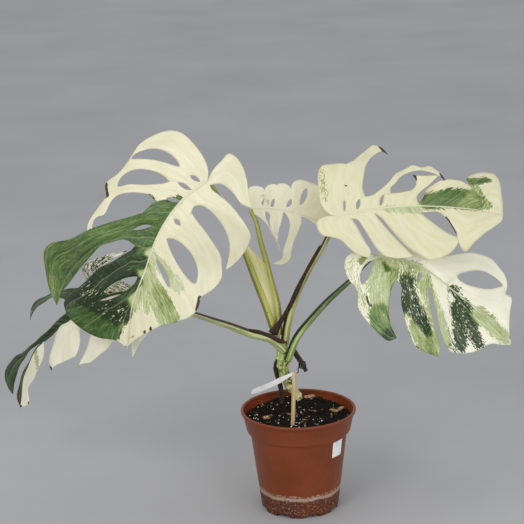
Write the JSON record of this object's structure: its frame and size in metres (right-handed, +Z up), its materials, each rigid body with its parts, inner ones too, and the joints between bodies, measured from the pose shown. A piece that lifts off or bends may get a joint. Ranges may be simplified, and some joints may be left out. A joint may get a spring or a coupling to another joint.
{
  "type": "potted monstera plant",
  "caption": "Variegated monstera with split, holed cream and green leaves on long stalks, in a round tapered terracotta-coloured plastic nursery pot.",
  "frame": {"origin": "middle of the pot's base, on the surface that it stands on", "axes": "+Z up; +X along the plant's wide spread, to the right as most leaf faces are seen; -Y the way most leaf faces look"},
  "size_m": [0.5935, 0.2054, 0.4403],
  "materials": {
    "leaf_cream": "satin",
    "leaf_green": "satin",
    "petiole": "satin",
    "stem": "matte",
    "sheath_pale": "satin",
    "sheath_dry": "matte",
    "aerial_root": "matte",
    "pot": "satin",
    "soil": "matte",
    "stick": "matte",
    "tag": "satin",
    "tie": "matte",
    "label": "satin",
    "bark": "matte"
  },
  "bodies": {
    "root": {"stem": "stem", "petiole_1": "petiole", "petiole_2": "petiole", "petiole_3": "petiole", "petiole_4": "petiole", "petiole_5": "petiole", "aerial_root_left": "aerial_root", "aerial_root_right": "aerial_root", "leaf_1": "leaf_cream", "leaf_2": "leaf_green", "leaf_3": "leaf_cream", "leaf_4": "leaf_cream", "leaf_5": "leaf_green", "sheath_pale": "sheath_pale", "sheath_dry": "sheath_dry", "sheath_base": "sheath_dry", "pot": "pot", "soil": "soil", "stick": "stick", "plant_tag": "tag", "tag_tie": "tie", "pot_label": "label", "bark_chip_1": "bark", "bark_chip_2": "bark", "bark_chip_3": "bark", "bark_chip_4": "bark"}
  },
  "joints": []
}
